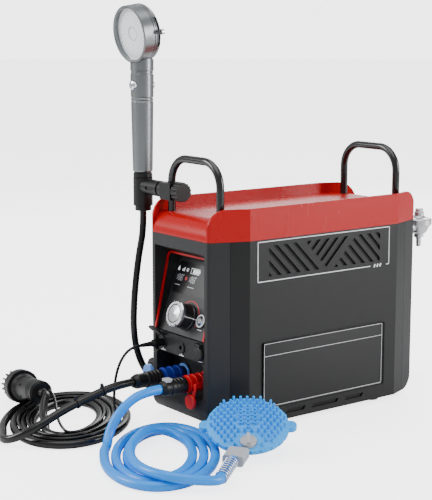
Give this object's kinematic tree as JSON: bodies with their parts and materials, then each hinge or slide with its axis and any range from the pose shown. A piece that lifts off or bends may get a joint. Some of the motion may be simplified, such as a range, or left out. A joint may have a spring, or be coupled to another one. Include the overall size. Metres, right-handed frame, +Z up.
{
  "type": "portable propane water heater",
  "caption": "Portable propane water heater: boxy case with recessed control panel, carrying handles, clip-on shower handset, pump and brush on coiled hoses.",
  "frame": {"origin": "on the ground plane under the middle of the case", "axes": "+Z up, the control panel faces -Y, the long sides face +X and -X"},
  "size_m": [0.5526, 0.744, 0.636],
  "materials": {
    "dark_plastic": "fine-textured moulded plastic",
    "panel_paint": "satin black powder coat",
    "red_cover": "glossy moulded plastic",
    "red_plastic": "semi-gloss plastic",
    "blue_plastic": "semi-gloss plastic",
    "pale_blue_rubber": "soft cap",
    "red_rubber": "soft cap",
    "fascia_plastic": "satin panel",
    "smoked_window": "smoked glossy window",
    "black_tube": "gloss black coated steel tube",
    "black_rubber": "matt rubber",
    "black_plastic": "moulded plastic",
    "black_hose": "semi-gloss flexible hose",
    "blue_hose": "glossy soft hose",
    "blue_silicone": "soft silicone",
    "grey_white": "light grey plastic",
    "gunmetal": "dark metallic coat",
    "silver_metal": "satin cast metal",
    "bright_metal": "polished",
    "spray_face": "pale spray plate",
    "copper": "copper sheet",
    "brass": "turned brass",
    "steel": "zinc-plated steel",
    "board": "circuit board"
  },
  "bodies": {
    "root": {"base_pan": "panel_paint", "side_panel_right": "panel_paint", "side_panel_left": "panel_paint", "front_frame": "dark_plastic", "control_fascia": "fascia_plastic", "display_window": "smoked_window", "accent_trim": "red_plastic", "rear_panel": "dark_plastic", "top_cover": "red_cover", "carry_handles": "black_tube", "feet": "black_rubber", "case_screws": "steel", "heat_exchanger": "copper", "burner": "steel", "gas_valve": "brass", "pipework": "copper", "water_valve": "brass", "battery_pack": "black_plastic", "control_board": "board", "water_ports": "black_plastic", "port_jacks": "black_plastic", "dc_plug": "black_plastic", "pump_hose_connector": "black_plastic", "brush_hose_connector": "black_plastic", "gas_regulator": "silver_metal", "holder_clamp": "black_plastic", "pump_housing": "black_plastic", "spring_guard": "bright_metal", "brush_body": "blue_silicone", "brush_bracket": "grey_white", "cable_ties": "black_plastic", "shower_hose_connector": "bright_metal", "shower_hose": "black_hose", "shower_hose_coil": "black_hose", "pump_hose": "black_hose", "pump_hose_coil": "black_hose", "pump_cable": "black_hose", "pump_cable_coil": "black_hose", "brush_hose": "blue_hose", "brush_hose_coil": "blue_hose"},
    "control_knob": {"control_knob": "bright_metal"},
    "power_button": {"power_button": "bright_metal"},
    "inlet_collar": {"inlet_collar": "blue_plastic"},
    "outlet_collar": {"outlet_collar": "red_plastic"},
    "inlet_dust_cap": {"inlet_dust_cap": "pale_blue_rubber"},
    "outlet_dust_cap": {"outlet_dust_cap": "red_rubber"},
    "open_jack_cap": {"open_jack_cap": "black_rubber"},
    "closed_jack_cap": {"closed_jack_cap": "black_rubber"},
    "drain_plug": {"drain_plug": "black_plastic"},
    "clamp_knob": {"clamp_knob": "black_plastic"},
    "cradle": {"cradle": "black_plastic"},
    "handset": {"handset_handle": "gunmetal", "handset_head": "gunmetal", "spray_plate": "spray_face", "hose_nut": "black_plastic"},
    "pause_button": {"pause_button": "bright_metal"},
    "mode_lever": {"mode_lever": "bright_metal"},
    "brush_valve_knob": {"brush_valve_knob": "grey_white"},
    "pump_strainer": {"pump_strainer": "black_plastic"},
    "release_tab": {"release_tab": "grey_white"}
  },
  "joints": [
    {"name": "control_knob_turn", "type": "hinge", "parent": "root", "child": "control_knob", "pos_m": [0, -0.19328, 0.16502], "axis": [0, -0.934, 0.3573], "range_deg": [-135, 135]},
    {"name": "power_button_press", "type": "slide", "parent": "root", "child": "power_button", "axis": [0, 0.934, -0.3573], "range_m": [0, 0.0018], "stiffness_N_per_m": 600},
    {"name": "inlet_collar_slide", "type": "slide", "parent": "root", "child": "inlet_collar", "axis": [0, 1, 0], "range_m": [0, 0.004], "stiffness_N_per_m": 500},
    {"name": "outlet_collar_slide", "type": "slide", "parent": "root", "child": "outlet_collar", "axis": [0, 1, 0], "range_m": [0, 0.004], "stiffness_N_per_m": 500},
    {"name": "inlet_dust_cap_swing", "type": "hinge", "parent": "root", "child": "inlet_dust_cap", "pos_m": [-0.029, -0.182, 0.071], "axis": [0, -1, 0], "range_deg": [-8, 8]},
    {"name": "outlet_dust_cap_swing", "type": "hinge", "parent": "root", "child": "outlet_dust_cap", "pos_m": [0.029, -0.182, 0.071], "axis": [0, -1, 0], "range_deg": [-8, 8]},
    {"name": "open_jack_cap_flap", "type": "hinge", "parent": "root", "child": "open_jack_cap", "pos_m": [-0.048, -0.211, 0.1335], "axis": [1, 0, 0], "range_deg": [-8, 15]},
    {"name": "closed_jack_cap_flap", "type": "hinge", "parent": "root", "child": "closed_jack_cap", "pos_m": [0.048, -0.211, 0.1335], "axis": [-1, 0, 0], "range_deg": [0, 120]},
    {"name": "drain_plug_turn", "type": "hinge", "parent": "root", "child": "drain_plug", "pos_m": [-0.07798, -0.197, 0.076], "axis": [-0.9337, -0.3579, 0], "range_deg": [0, 360]},
    {"name": "clamp_knob_turn", "type": "hinge", "parent": "root", "child": "clamp_knob", "pos_m": [-0.045, -0.179, 0.3515], "axis": [1, 0, 0], "range_deg": [0, 360]},
    {"name": "cradle_tilt", "type": "hinge", "parent": "root", "child": "cradle", "pos_m": [-0.142, -0.179, 0.3515], "axis": [1, 0, 0], "range_deg": [-30, 30]},
    {"name": "handset_lift", "type": "slide", "parent": "cradle", "child": "handset", "axis": [0, 0, 1], "range_m": [0, 0.04]},
    {"name": "pause_button_push", "type": "slide", "parent": "handset", "child": "pause_button", "axis": [0, 1, 0], "range_m": [-0.003, 0.003]},
    {"name": "mode_lever_swing", "type": "hinge", "parent": "handset", "child": "mode_lever", "pos_m": [-0.142, -0.203, 0.588], "axis": [0, 0.9877, 0.1564], "range_deg": [-15, 15]},
    {"name": "brush_valve_turn", "type": "hinge", "parent": "root", "child": "brush_valve_knob", "pos_m": [0.19855, -0.2323, 0.02375], "axis": [0.3001, -0.224, 0.9272], "range_deg": [0, 90]},
    {"name": "strainer_twist", "type": "hinge", "parent": "root", "child": "pump_strainer", "pos_m": [-0.24739, -0.3483, 0.02846], "axis": [0.9823, -0.1396, 0.1247], "range_deg": [0, 45]},
    {"name": "release_tab_press", "type": "slide", "parent": "root", "child": "release_tab", "axis": [0, 0, -1], "range_m": [0, 0.0015], "stiffness_N_per_m": 500}
  ]
}
